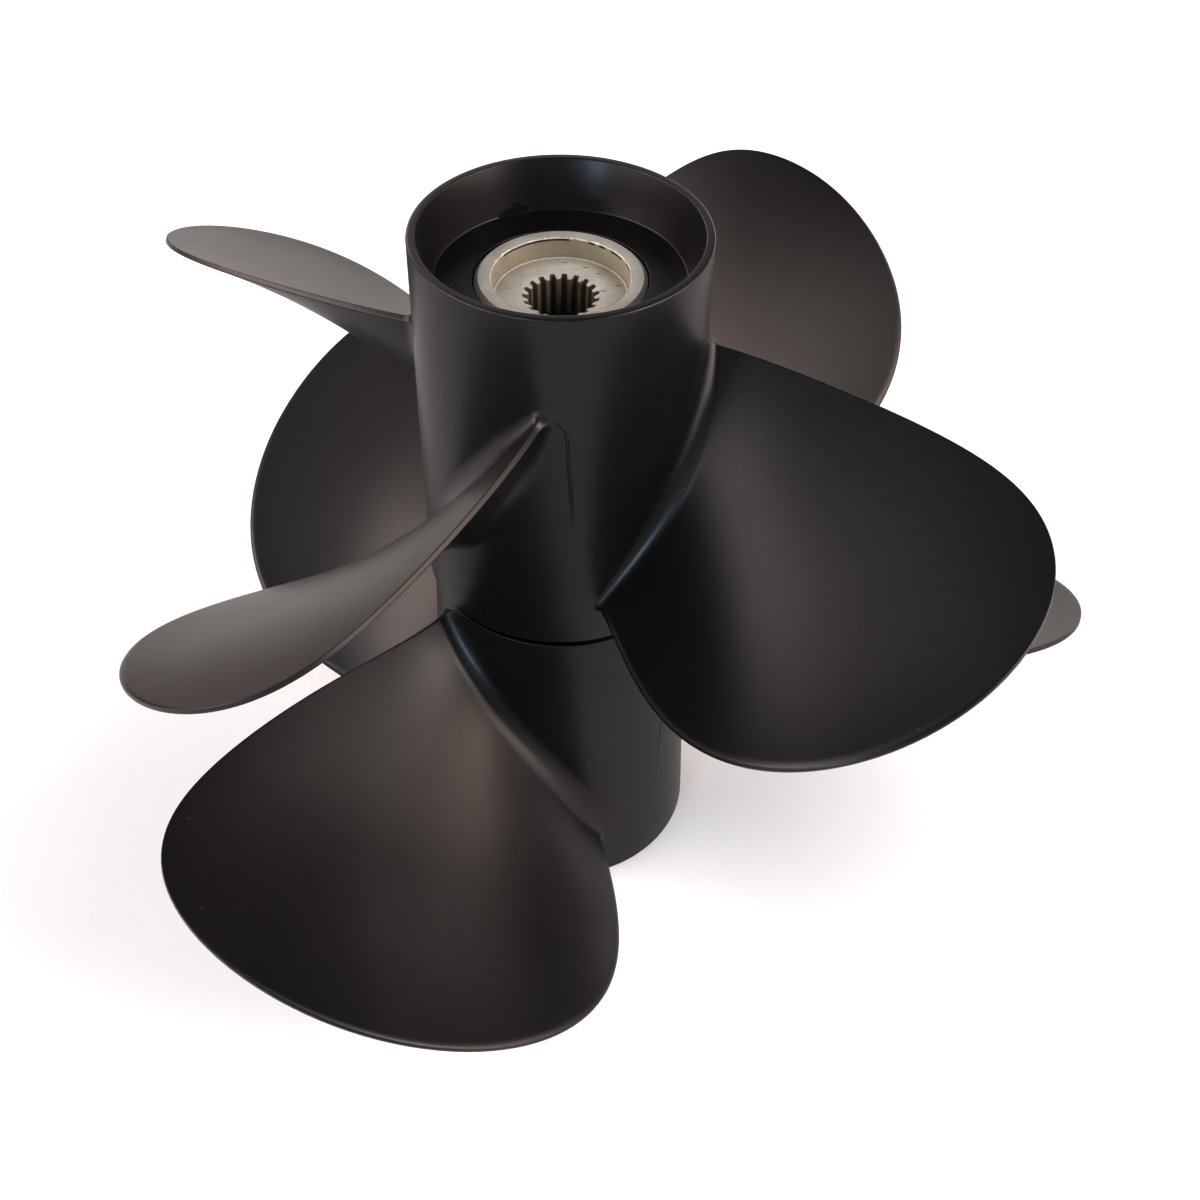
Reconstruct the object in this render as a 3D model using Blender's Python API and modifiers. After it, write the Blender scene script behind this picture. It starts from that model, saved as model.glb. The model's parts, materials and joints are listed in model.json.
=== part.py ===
# Contra-rotating pair of boat propellers, standing aft end up on the forward propeller's hub.
# The upper propeller has four blades and the lower one three, twisted the opposite way.
# Each casting is split where its simpler shapes meet: barrel, web, core, ribs and blades.
import math
from collections import namedtuple

import bmesh
import bpy
from mathutils import Vector

MM = 0.001
MERGE = 0.01 * MM

# Frame: the hub axis stands beside the middle of the bounding box
AXIS_X = -24.8 * MM
AXIS_Y = -0.5 * MM

# Hub, from the floor up
GAP = 0.3 * MM
LOWER_TOP = 137.5 * MM
SEAM_GAP = 3.8 * MM
HUB_TOP = 283.0 * MM
HUB_FOOT_RADIUS = 53.5 * MM
LOWER_TOP_RADIUS = 49.2 * MM
UPPER_RADIUS = 51.0 * MM
WALL = 4.5 * MM
TURN_STEPS = 72

# Recess in the upper hub's aft end
RIM_INNER_RADIUS = 48.0 * MM
RIM_CHAMFER = 0.8 * MM
RECESS_FLOOR_RADIUS = 43.1 * MM
RECESS_DEPTH = 17.6 * MM
WEB_THICKNESS = 6.0 * MM

# Cores that carry the bushes
CORE_OUTER_RADIUS = 38.0 * MM
CORE_WALL_INNER = {"upper": 29.8 * MM, "lower": 33.3 * MM}
LOWER_CORE_LIFT = 5.0 * MM
LOWER_WEB_TOP = 132.0 * MM
RIB_COUNT = 3
RIB_THICKNESS = 7.0 * MM
RIB_LIFT = 8.0 * MM
RIB_FIRST_ANGLE = 90.0

# Bush sleeve, rubber and splined sleeve of each propeller
Bush = namedtuple("Bush", "outer bevel wall rubber_inner mouth bottom top recess flange_thickness inset")
UPPER_BUSH = Bush(
    outer=29.4 * MM, bevel=1.4 * MM, wall=5.8 * MM, rubber_inner=17.8 * MM, mouth=14.0 * MM, bottom=150.0 * MM,
    top=266.0 * MM, recess=7.6 * MM, flange_thickness=4.5 * MM, inset=6.0 * MM)
LOWER_BUSH = Bush(
    outer=33.0 * MM, bevel=0.8 * MM, wall=4.5 * MM, rubber_inner=25.2 * MM, mouth=21.8 * MM, bottom=12.0 * MM,
    top=134.0 * MM, recess=5.0 * MM, flange_thickness=4.5 * MM, inset=5.0 * MM)
Spline = namedtuple("Spline", "teeth major minor turn")
UPPER_SPLINE = Spline(teeth=19, major=13.2 * MM, minor=11.3 * MM, turn=84.6)
LOWER_SPLINE = Spline(teeth=24, major=21.0 * MM, minor=19.2 * MM, turn=0.0)
SPACE_MOUTH_SHARE = 0.35
SPACE_FLOOR_SHARE = 0.16
SPLINE_STOCK = 2.0 * MM
CUTTER_OVERHANG = 5.0 * MM

# Blades: values run from the hub (rho 0) to the tip (rho 1) in even steps
Blade = namedtuple(
    "Blade", "count hand azimuth height root_radius tip_radius pitch rake width sweep root_thickness")
UPPER_BLADE = Blade(
    count=4, hand=1, azimuth=48.9, height=202.4 * MM, root_radius=51.0 * MM, tip_radius=188.0 * MM,
    pitch=(460 * MM, 584 * MM, 543 * MM),
    rake=(0.0, 2.3 * MM, 7.9 * MM),
    width=(51.0 * MM, 67.5 * MM, 86.0 * MM, 110.5 * MM),
    sweep=(0.0, -7.0 * MM, -10.5 * MM, -7.5 * MM, 4.5 * MM),
    root_thickness=12.0 * MM)
LOWER_BLADE = Blade(
    count=3, hand=-1, azimuth=-19.9, height=76.4 * MM, root_radius=51.0 * MM, tip_radius=204.7 * MM,
    pitch=(498 * MM, 512 * MM, 557 * MM),
    rake=(0.0, 8.2 * MM, 27.4 * MM),
    width=(62.3 * MM, 81.7 * MM, 110.1 * MM, 143.6 * MM),
    sweep=(0.0, 1.7 * MM, 4.8 * MM, 15.0 * MM, 46.2 * MM),
    root_thickness=13.0 * MM)
EDGE_THICKNESS = 2.4 * MM
TAPER_POWER = 1.2
FILLET_RISE = 5.0 * MM
FILLET_REACH = 3.5 * MM
END_FILLET_RISE = 3.0 * MM
ROOT_FOLLOW_POWER = 8
SPAN_STEPS = 14
SPAN_CROWDING = 1.7
FILLET_STATIONS = (0.012, 0.03, 0.055)
CHORD_STEPS = 14
ROOT_STEPS = 6
ROOT_GAP = 0.45 * MM

COLOURS = {
    "satin_black": ((0.021, 0.020, 0.020, 1.0), 0.42, 0.0),
    "bush_metal": ((0.40, 0.36, 0.31, 1.0), 0.35, 1.0),
    "spline_metal": ((0.28, 0.27, 0.25, 1.0), 0.40, 1.0),
    "rubber": ((0.018, 0.018, 0.018, 1.0), 0.85, 0.0),
}


def clear_scene():
    for obj in list(bpy.data.objects):
        bpy.data.objects.remove(obj, do_unlink=True)


def new_collection(name):
    collection = bpy.data.collections.new(name)
    bpy.context.scene.collection.children.link(collection)
    return collection


def finish_for(slot, name):
    """A Principled material of the slot's colour, one for each piece."""
    colour, roughness, metallic = COLOURS[slot]
    material = bpy.data.materials.new(name + "_" + slot)
    material.use_nodes = True
    shader = material.node_tree.nodes["Principled BSDF"]
    shader.inputs["Base Color"].default_value = colour
    shader.inputs["Roughness"].default_value = roughness
    shader.inputs["Metallic"].default_value = metallic
    material.diffuse_color = colour
    return material


def add_object(name, mesh, collection, parent=None, slot=None):
    obj = bpy.data.objects.new(name, mesh)
    collection.objects.link(obj)
    if parent is not None:
        obj.parent = parent
    if slot is not None:
        mesh.materials.append(finish_for(slot, name))
    return obj


def add_axis(name, height):
    """An empty on the hub axis, which a propeller's pieces hang from."""
    empty = bpy.data.objects.new(name, None)
    empty.location = (AXIS_X, AXIS_Y, height)
    PARTS.objects.link(empty)
    return empty


def turned(name, profile, collection, parent, slot=None):
    """A ring turned from a closed profile of (radius, height) points, outer side first, top to bottom."""
    lift = parent.location.z
    mesh = bpy.data.meshes.new(name)
    points = [(radius, 0.0, height - lift) for radius, height in profile]
    edges = [(i, (i + 1) % len(points)) for i in range(len(points))]
    mesh.from_pydata(points, edges, [])
    obj = add_object(name, mesh, collection, parent, slot)
    screw = obj.modifiers.new("turn", "SCREW")
    screw.axis = "Z"
    screw.angle = math.tau
    screw.steps = TURN_STEPS
    screw.render_steps = TURN_STEPS
    screw.use_merge_vertices = True
    screw.merge_threshold = MERGE
    screw.use_smooth_shade = True
    return obj


def lower_hub_radius(height):
    share = height / LOWER_TOP
    return HUB_FOOT_RADIUS + (LOWER_TOP_RADIUS - HUB_FOOT_RADIUS) * share


def upper_hub_radius(height):
    return UPPER_RADIUS


def through(values, rho):
    """The smooth curve through values spaced evenly from the hub to the tip."""
    last = len(values) - 1
    total = 0.0
    for i, value in enumerate(values):
        term = value
        for j in range(len(values)):
            if j != i:
                term *= (rho * last - j) / (i - j)
        total += term
    return total


def offset(blade, rho, across, depth, fillet):
    """Distance off the nearly flat upper face, for depth 0 on that face to 1 on the domed lower one."""
    dome = (blade.root_thickness - EDGE_THICKNESS) * (1 - rho) ** TAPER_POWER * (1 - across ** 2)
    rise = FILLET_RISE * fillet * (1 - across ** 2)
    return rise - depth * (EDGE_THICKNESS + dome + 2 * rise)


def blade_point(blade, turn, rho, across, depth, hub_radius):
    """A point of the blade: across runs from the lower edge (-1) to the upper edge (+1)."""
    radius = blade.root_radius + (blade.tip_radius - blade.root_radius) * rho
    helix = math.atan2(through(blade.pitch, rho), math.tau * radius)
    fillet = math.exp((blade.root_radius - radius) / FILLET_REACH)
    half_chord = through(blade.width, rho) * math.sqrt(max(0.0, 1 - rho ** 2)) + END_FILLET_RISE * fillet
    along = through(blade.sweep, rho) + across * half_chord
    off = offset(blade, rho, across, depth, fillet)
    azimuth = turn + blade.hand * (along * math.cos(helix) - off * math.sin(helix)) / radius
    height = blade.height + through(blade.rake, rho) + along * math.sin(helix) + off * math.cos(helix)
    seat = hub_radius(height) + ROOT_GAP - blade.root_radius
    radius += seat * (1 - rho) ** ROOT_FOLLOW_POWER
    return Vector((radius * math.sin(azimuth), -radius * math.cos(azimuth), height))


def span_stations():
    crowded = [1 - (1 - i / SPAN_STEPS) ** SPAN_CROWDING for i in range(SPAN_STEPS + 1)]
    inner = [rho for rho in crowded if rho > FILLET_STATIONS[-1] * 1.5]
    return [0.0, *FILLET_STATIONS, *inner]


def chord_stations():
    return [-math.cos(math.pi * j / CHORD_STEPS) for j in range(CHORD_STEPS + 1)]


def add_blade(name, blade, index, hub_radius, parent):
    """A blade lofted from sections that lie on cylinders about the hub axis."""
    turn = math.radians(blade.azimuth) - index * math.tau / blade.count
    lift = Vector((0, 0, parent.location.z))
    mesh = bpy.data.meshes.new(name)
    bm = bmesh.new()
    loops = []
    for rho in span_stations():
        faces = [[], []]
        for depth, points in enumerate(faces):
            for across in chord_stations():
                place = blade_point(blade, turn, rho, across, depth, hub_radius) - lift
                points.append(bm.verts.new(place))
        loops.append(faces[0] + faces[1][::-1])
    ring = len(loops[0])
    for inner, outer in zip(loops[:-1], loops[1:]):
        for j in range(ring):
            k = (j + 1) % ring
            bm.faces.new((inner[j], inner[k], outer[k], outer[j]))
    rows = [loops[0][:CHORD_STEPS + 1]]
    for step in range(1, ROOT_STEPS):
        rows.append([bm.verts.new(blade_point(blade, turn, 0.0, across, step / ROOT_STEPS, hub_radius) - lift)
                     for across in chord_stations()])
    rows.append(loops[0][:CHORD_STEPS:-1])
    for row, below in zip(rows[:-1], rows[1:]):
        for j in range(CHORD_STEPS):
            bm.faces.new((row[j], row[j + 1], below[j + 1], below[j]))
    for end in (0, CHORD_STEPS):
        bm.faces.new([row[end] for row in rows])
    bmesh.ops.remove_doubles(bm, verts=bm.verts, dist=MERGE)
    bmesh.ops.recalc_face_normals(bm, faces=bm.faces)
    bm.to_mesh(mesh)
    bm.free()
    obj = add_object(name, mesh, PARTS, parent, "satin_black")
    mesh.shade_smooth()
    mesh.set_sharp_from_angle(angle=math.radians(40))
    return obj


def spline_cutter(name, spline, bottom, top):
    """The toothed space of a splined bore, as a closed prism."""
    pitch = math.tau / spline.teeth
    corners = []
    for tooth in range(spline.teeth):
        middle = math.radians(spline.turn) + tooth * pitch
        for share, radius in ((-SPACE_MOUTH_SHARE, spline.minor), (-SPACE_FLOOR_SHARE, spline.major),
                              (SPACE_FLOOR_SHARE, spline.major), (SPACE_MOUTH_SHARE, spline.minor)):
            angle = middle + share * pitch
            corners.append((radius * math.cos(angle), radius * math.sin(angle)))
    curve = bpy.data.curves.new(name, "CURVE")
    curve.dimensions = "2D"
    curve.fill_mode = "BOTH"
    curve.extrude = (top - bottom) / 2
    line = curve.splines.new("POLY")
    line.points.add(len(corners) - 1)
    for point, (x, y) in zip(line.points, corners):
        point.co = (x, y, 0, 1)
    line.use_cyclic_u = True
    outline = add_object(name + "_outline", curve, CUTTERS)
    outline.location = (AXIS_X, AXIS_Y, (top + bottom) / 2)
    bpy.context.view_layer.update()
    evaluated = outline.evaluated_get(bpy.context.evaluated_depsgraph_get())
    mesh = bpy.data.meshes.new_from_object(evaluated)
    bm = bmesh.new()
    bm.from_mesh(mesh)
    bmesh.ops.remove_doubles(bm, verts=bm.verts, dist=MERGE)
    bm.to_mesh(mesh)
    bm.free()
    cutter = bpy.data.objects.new(name, mesh)
    CUTTERS.objects.link(cutter)
    cutter.matrix_world = outline.matrix_world
    bpy.data.objects.remove(outline, do_unlink=True)
    cutter.hide_render = True
    cutter.display_type = "WIRE"
    return cutter


def add_bush(which, bush, spline, parent):
    """The bush of one propeller: metal sleeve, rubber, and the splined sleeve with its flange."""
    sleeve_inner = bush.outer - bush.wall
    flange_top = bush.top - bush.recess
    flange_bottom = flange_top - bush.flange_thickness
    turned(which + "_bush_sleeve",
           [(bush.outer - bush.bevel, bush.top), (bush.outer, bush.top - bush.bevel), (bush.outer, bush.bottom),
            (sleeve_inner, bush.bottom), (sleeve_inner, bush.top)],
           PARTS, parent, "bush_metal")
    turned(which + "_rubber_bush",
           [(sleeve_inner - GAP, flange_bottom - GAP), (sleeve_inner - GAP, bush.bottom + bush.inset),
            (bush.rubber_inner, bush.bottom + bush.inset), (bush.rubber_inner, flange_bottom - GAP)],
           PARTS, parent, "rubber")
    tube_outer = bush.rubber_inner - GAP
    bore_start = spline.minor - SPLINE_STOCK
    sleeve = turned(which + "_spline_sleeve",
                    [(sleeve_inner - GAP, flange_top), (sleeve_inner - GAP, flange_bottom),
                     (tube_outer, flange_bottom), (tube_outer, bush.bottom), (bore_start, bush.bottom),
                     (bore_start, flange_top - (bush.mouth - bore_start)), (bush.mouth, flange_top)],
                    PARTS, parent, "spline_metal")
    cutter = spline_cutter(which + "_spline_cutter", spline, bush.bottom - CUTTER_OVERHANG,
                           flange_top + CUTTER_OVERHANG)
    cut = sleeve.modifiers.new("spline", "BOOLEAN")
    cut.operation = "DIFFERENCE"
    cut.object = cutter


def add_upper_hub(parent):
    foot = LOWER_TOP + SEAM_GAP
    floor = HUB_TOP - RECESS_DEPTH
    web_bottom = floor - WEB_THICKNESS
    hollow_radius = UPPER_RADIUS - WALL
    turned("upper_hub_barrel",
           [(UPPER_RADIUS - RIM_CHAMFER, HUB_TOP), (UPPER_RADIUS, HUB_TOP - RIM_CHAMFER),
            (UPPER_RADIUS, foot), (hollow_radius, foot), (hollow_radius, web_bottom - GAP),
            (RECESS_FLOOR_RADIUS + GAP, web_bottom - GAP), (RECESS_FLOOR_RADIUS + GAP, floor),
            (RIM_INNER_RADIUS, HUB_TOP)],
           PARTS, parent, "satin_black")
    inner = CORE_WALL_INNER["upper"]
    turned("upper_hub_web",
           [(RECESS_FLOOR_RADIUS, floor), (RECESS_FLOOR_RADIUS, web_bottom), (inner, web_bottom), (inner, floor)],
           PARTS, parent, "satin_black")
    turned("upper_hub_core",
           [(CORE_OUTER_RADIUS, web_bottom - GAP), (CORE_OUTER_RADIUS, LOWER_TOP + GAP),
            (inner, LOWER_TOP + GAP), (inner, web_bottom - GAP)],
           PARTS, parent, "satin_black")


def add_lower_hub(parent):
    web_bottom = LOWER_WEB_TOP - WEB_THICKNESS
    inner = CORE_WALL_INNER["lower"]
    web_outer = lower_hub_radius(LOWER_WEB_TOP) - WALL - GAP
    turned("lower_hub_barrel",
           [(LOWER_TOP_RADIUS, LOWER_TOP), (HUB_FOOT_RADIUS, 0.0), (HUB_FOOT_RADIUS - WALL, 0.0),
            (LOWER_TOP_RADIUS - WALL, LOWER_TOP)],
           PARTS, parent, "satin_black")
    turned("lower_hub_web",
           [(web_outer, LOWER_WEB_TOP), (web_outer, web_bottom), (CORE_OUTER_RADIUS + GAP, web_bottom),
            (CORE_OUTER_RADIUS + GAP, LOWER_WEB_TOP)],
           PARTS, parent, "satin_black")
    turned("lower_hub_core",
           [(CORE_OUTER_RADIUS, LOWER_TOP), (CORE_OUTER_RADIUS, LOWER_CORE_LIFT), (inner, LOWER_CORE_LIFT),
            (inner, LOWER_TOP)],
           PARTS, parent, "satin_black")
    for index in range(RIB_COUNT):
        add_rib(index, web_bottom - GAP, parent)


def add_rib(index, top, parent):
    """A rib from the core out to the tapered barrel."""
    name = "lower_hub_rib_" + str(index + 1)
    mesh = bpy.data.meshes.new(name)
    bm = bmesh.new()
    bmesh.ops.create_cube(bm, size=1.0)
    start = CORE_OUTER_RADIUS + GAP
    for vert in bm.verts:
        height = top if vert.co.z > 0 else RIB_LIFT
        end = lower_hub_radius(height) - WALL - 2 * GAP
        vert.co = (end if vert.co.x > 0 else start, vert.co.y * RIB_THICKNESS, height)
    bm.to_mesh(mesh)
    bm.free()
    rib = add_object(name, mesh, PARTS, parent, "satin_black")
    rib.rotation_euler.z = math.radians(RIB_FIRST_ANGLE) + index * math.tau / RIB_COUNT


def build():
    lower = add_axis("lower_propeller", 0.0)
    upper = add_axis("upper_propeller", LOWER_TOP + SEAM_GAP)
    bpy.context.view_layer.update()
    add_lower_hub(lower)
    add_bush("lower", LOWER_BUSH, LOWER_SPLINE, lower)
    for index in range(LOWER_BLADE.count):
        add_blade("lower_blade_" + str(index + 1), LOWER_BLADE, index, lower_hub_radius, lower)
    add_upper_hub(upper)
    add_bush("upper", UPPER_BUSH, UPPER_SPLINE, upper)
    for index in range(UPPER_BLADE.count):
        add_blade("upper_blade_" + str(index + 1), UPPER_BLADE, index, upper_hub_radius, upper)


clear_scene()
PARTS = new_collection("contra_rotating_propellers")
CUTTERS = new_collection("cutters")
build()
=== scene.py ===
# Looks of the contra-rotating propeller pair: castings, bushes, finishes, light and camera
import json
import math
from collections import namedtuple

import bmesh
import bpy
import numpy as np
from mathutils import Matrix, Vector


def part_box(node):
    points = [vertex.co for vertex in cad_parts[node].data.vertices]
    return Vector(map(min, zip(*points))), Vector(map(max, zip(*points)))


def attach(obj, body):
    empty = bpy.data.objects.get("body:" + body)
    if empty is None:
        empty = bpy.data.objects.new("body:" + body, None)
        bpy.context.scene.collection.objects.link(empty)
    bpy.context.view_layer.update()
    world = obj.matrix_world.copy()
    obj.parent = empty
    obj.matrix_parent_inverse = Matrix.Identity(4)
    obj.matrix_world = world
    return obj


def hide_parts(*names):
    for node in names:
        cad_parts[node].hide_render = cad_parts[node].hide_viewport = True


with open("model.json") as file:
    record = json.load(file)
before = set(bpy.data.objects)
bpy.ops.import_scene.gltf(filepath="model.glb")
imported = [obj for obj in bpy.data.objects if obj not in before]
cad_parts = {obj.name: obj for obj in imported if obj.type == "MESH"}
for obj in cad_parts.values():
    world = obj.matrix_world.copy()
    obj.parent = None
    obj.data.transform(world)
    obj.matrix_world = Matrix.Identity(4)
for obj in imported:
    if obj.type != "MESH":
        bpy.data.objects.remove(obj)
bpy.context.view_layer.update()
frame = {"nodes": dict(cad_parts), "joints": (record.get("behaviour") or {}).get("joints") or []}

MM = 0.001

# The hub axis, heights and radii come from the frame
AXIS = np.array(frame["joints"][0]["pos_m"], float)


def low_z(node):
    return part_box(node)[0][2]


def high_z(node):
    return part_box(node)[1][2]


def half_width(node):
    low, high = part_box(node)
    return (high[0] - low[0]) / 2


FOOT = low_z("lower_hub_barrel")
HUB_TOP = high_z("upper_hub_barrel")
SEAM_HIGH = low_z("upper_hub_barrel")
SEAM_LOW = high_z("lower_hub_barrel")
UPPER_RADIUS = half_width("upper_hub_barrel")
FOOT_RADIUS = half_width("lower_hub_barrel")
RECESS_FLOOR = high_z("upper_hub_web")
RECESS_FLOOR_RADIUS = half_width("upper_hub_web")
WEB_LOW = low_z("upper_hub_web")
CORE_RADIUS = half_width("upper_hub_core")
UPPER_CORE_LOW = low_z("upper_hub_core")
LOWER_CORE_LOW = low_z("lower_hub_core")
LOWER_WEB_LOW = low_z("lower_hub_web")
LOWER_WEB_HIGH = high_z("lower_hub_web")
RING_TOP = high_z("upper_bush_sleeve")
RING_FOOT = low_z("upper_bush_sleeve")
RING_RADIUS = half_width("upper_bush_sleeve")
CUP_FLOOR = high_z("upper_spline_sleeve")

# Radii that the frame's boxes do not show
LOWER_TOP_RADIUS = 49.2 * MM
WALL = 4.5 * MM
RIM_INNER_RADIUS = 48.0 * MM
UPPER_CORE_BORE = 29.8 * MM
LOWER_CORE_BORE = 33.3 * MM

# Bush of the upper propeller
RING_BEVEL = 1.4 * MM
CUP_RADIUS = 23.6 * MM
CUP_FLOOR_RADIUS = 23.1 * MM
FLANGE_RADIUS = 22.95 * MM
FLANGE_THICKNESS = 4.5 * MM
FLOOR_LIP = 0.6 * MM
LIP_RISE = 0.6 * FLOOR_LIP
# Where the cup's floor starts to darken towards its wall, as painted shade
WALL_SHADE_RADIUS = 18.0 * MM
TUBE_RADIUS = 17.5 * MM
MOUTH_RADIUS = 13.6 * MM
MOUTH_DEPTH = 1.0 * MM
SPLINE_TEETH = 19
SPLINE_MAJOR = 13.2 * MM
SPLINE_MINOR = 11.3 * MM
SPLINE_PHASE = 0.785
STEPS_PER_TOOTH = 24
# Shares of a tooth's pitch: where its flank begins, from its middle, and how wide the flank is
FLANK_START = 0.33
FLANK_WIDTH = 0.16
BORE_ROWS = 9
CONE_ROWS = 13
CONE_GAP = 0.5 * MM
RING_SEGMENTS = 540
HUB_SEGMENTS = 288
# The worn inner rim: how far each step lies under the ring's top, and how far out from the cup's wall
SLIT_FOOT = 1.3 * MM
SLIT_LOW = 1.25 * MM
SLIT_HIGH = 0.65 * MM
BURR_LOW = 0.35 * MM
BURR_TOP = 0.02 * MM
BURR_GROOVE = 0.12 * MM
BURR_OUT = 0.35 * MM
GROOVE_OUT = 0.6 * MM
RIM_OUT = 0.9 * MM
RIM_JAG = 0.14 * MM
RIM_SEED = 5
RIM_WAVES = range(9, 90, 4)
# Where the worn rim has a slit under it: first angle, last angle, depth
RIM_SLITS = ((173, 236, 1.3 * MM), (150, 156, 0.9 * MM), (140, 146, 1.1 * MM), (118, 133, 0.9 * MM),
             (98, 110, 0.8 * MM))

# Values at the points that the materials read: what the metal or the paint is like there, and where shade is
# painted into it
BURR_ZONE = -1.0
FACE_ZONE = 0.0
BEVEL_ZONE = 0.25
BACK_ZONE = 0.5
GROOVE_ZONE = 0.6
# The cup's floor next to its wall: painted shade
WALL_SHADE_ZONE = 0.75
WALL_FOOT_ZONE = 0.9
WALL_ZONE = 1.0
# The bore is painted part way, and the rim's slits fully, with the dark of shade
BORE_ZONE = 1.4
CREVICE_SHADE_ZONE = 2.0
# On the blades the value falls from 1 at the edge to 0 inside, and the root's cut end has its own, which
# paints it dark as shade
CUT_SHADE_ZONE = 2.0

# Blades: values run from the hub (rho 0) to the tip (rho 1) in even steps
Blade = namedtuple("Blade", (
    "count hand azimuth height root_radius tip_radius pitch rake width sweep "
    "root_thickness end_fillets end_reach bulge flat_end"))
UPPER_BLADE = Blade(
    count=4, hand=1, azimuth=48.9, height=202.4 * MM, root_radius=51.0 * MM, tip_radius=187.8 * MM,
    pitch=(460 * MM, 584 * MM, 543 * MM),
    rake=(0.0, 2.3 * MM, 7.9 * MM),
    width=(51.0 * MM, 67.5 * MM, 86.0 * MM, 110.5 * MM),
    sweep=(0.0, -7.0 * MM, -10.5 * MM, -7.5 * MM, 4.5 * MM),
    root_thickness=12.0 * MM,
    end_fillets=(2.0 * MM, 4.5 * MM),
    end_reach=(3.2 * MM, 0.0),
    bulge=0.0,
    flat_end=False)
LOWER_BLADE = Blade(
    count=3, hand=-1, azimuth=-19.9, height=76.4 * MM, root_radius=51.0 * MM, tip_radius=204.4 * MM,
    pitch=(498 * MM, 512 * MM, 557 * MM),
    rake=(0.0, 8.2 * MM, 27.4 * MM),
    width=(62.3 * MM, 81.7 * MM, 110.1 * MM, 143.6 * MM),
    sweep=(0.0, 1.7 * MM, 4.8 * MM, 15.0 * MM, 46.2 * MM),
    root_thickness=13.0 * MM,
    end_fillets=(3.0 * MM, 0.0),
    end_reach=(0.0, 4.0 * MM),
    bulge=6.5 * MM,
    flat_end=True)
# Edge thicknesses; the trailing edge thins from root to tip, and a dome thickens the middle
LEADING_EDGE = 2.8 * MM
TRAILING_EDGE = (2.4 * MM, 1.6 * MM)
DOME_EDGE = 2.4 * MM
TAPER_POWER = 1.2
# Rounding of the edges, which grows to a broader roll over the leading half
CORNER = 0.4 * MM
ROLL_REACH = 3.5 * MM
ROLL_DROP = 1.6 * MM
ROLL_FROM = 0.15
ROLL_SPREAD = 0.5
# Root fillets on the faces, and how they fade towards the ends of the root
FILLET_UPPER = 8.0 * MM
FILLET_UNDER = 5.8 * MM
CUT_FILLET_LOSS = 0.4
FILLET_END_FADE = 1.8
LEADING_FILLET_FADE = 0.9
# The root: seat on the hub, longer and cut ends, bulge of the upper face
ROOT_FOLLOW_POWER = 8
SEAT_LIFT = 0.02 * MM
ROOT_SINK = 1.0 * MM
END_REACH_FADE = 10.0 * MM
END_TURN = 0.97
CUT_REACH = 4.0 * MM
BULGE_FADE = 60.0 * MM
WEAR_WIDTH = 1.5 * MM
# Mesh density
FILLET_ROWS = 14
SPAN_ROWS = 56
ROW_SPACING = 1.3
CHORD_COLUMNS = 72
EDGE_CROWDING = 0.6
WALL_POINTS = 4
CURVE_STEPS = 20
WELD = 0.0005 * MM

# Parting lines beside the blades' upper roots: degrees from the blade's middle, millimetres over the floor
UPPER_PARTING = (
    (32.0, 243.6), (33.8, 243.8), (35.3, 244.0), (37.1, 244.2), (39.2, 243.5), (40.7, 242.5), (41.8, 241.3),
    (42.5, 240.0), (43.1, 237.5), (43.4, 234.6), (44.0, 222.7), (45.1, 207.7), (45.5, 193.9))
LOWER_PARTING = (
    (35.0, 128.7), (37.9, 128.8), (40.4, 128.3), (42.6, 126.6), (44.5, 123.0), (45.6, 112.0), (46.8, 92.0),
    (47.9, 71.2), (51.0, 38.7))
PARTING_HALF_WIDTH = 0.6 * MM
PARTING_HEIGHT = 0.25 * MM
PARTING_STEP = 1.0 * MM
PARTING_SINK = 0.01 * MM
PARTING_FADE = 3.0
# Across a parting line: shares of its half width and of its height
PARTING_SIDES = (-1.0, -0.6, -0.25, 0.25, 0.6, 1.0, 1.0, -1.0)
PARTING_LIFTS = (0.0, 0.55, 1.0, 1.0, 0.55, 0.0, -2.0, -2.0)

# Small chips in the paint and a dark patch in the recess: degrees from the front, radius, height, size
CHIPS = ((-47.0, 171.4 * MM, 134.4 * MM, 0.5 * MM), (-45.1, 176.9 * MM, 133.3 * MM, 0.6 * MM),
         (-36.8, 195.3 * MM, 126.7 * MM, 0.6 * MM), (38.4, 175.8 * MM, 192.7 * MM, 0.5 * MM))
DARK_PATCHES = ((-162.8, 43.4 * MM, 266.2 * MM, 2.6 * MM), (-158.8, 43.8 * MM, 267.4 * MM, 3.0 * MM),
         (-154.6, 43.3 * MM, 266.0 * MM, 2.6 * MM), (-151.2, 43.2 * MM, 265.6 * MM, 1.6 * MM))
# Short dark dashes on the cup's floor: degrees from the front, radius
FLOOR_DASHES = (
    (176.4, 20.0 * MM), (152.8, 18.8 * MM), (134.6, 18.4 * MM), (98.8, 14.4 * MM), (105.4, 20.6 * MM))
DASH_WIDTH = 0.35 * MM
DASH_STRETCH = 3.5

# Camera of the photograph, fitted to the hub's rims and the blades' outlines
PHOTO_SIZE = 1200
FOCAL_PIXELS = 1591.3
CENTRE_X, CENTRE_Y = 588.9, 589.1
CAMERA_BACK = 457.1 * MM
CAMERA_OVER_TOP = 279.6 * MM
CAMERA_YAW, CAMERA_PITCH, CAMERA_ROLL = 0.024, 0.770, 0.015
SENSOR = 36.0
CLIP_START = 0.01

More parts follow.
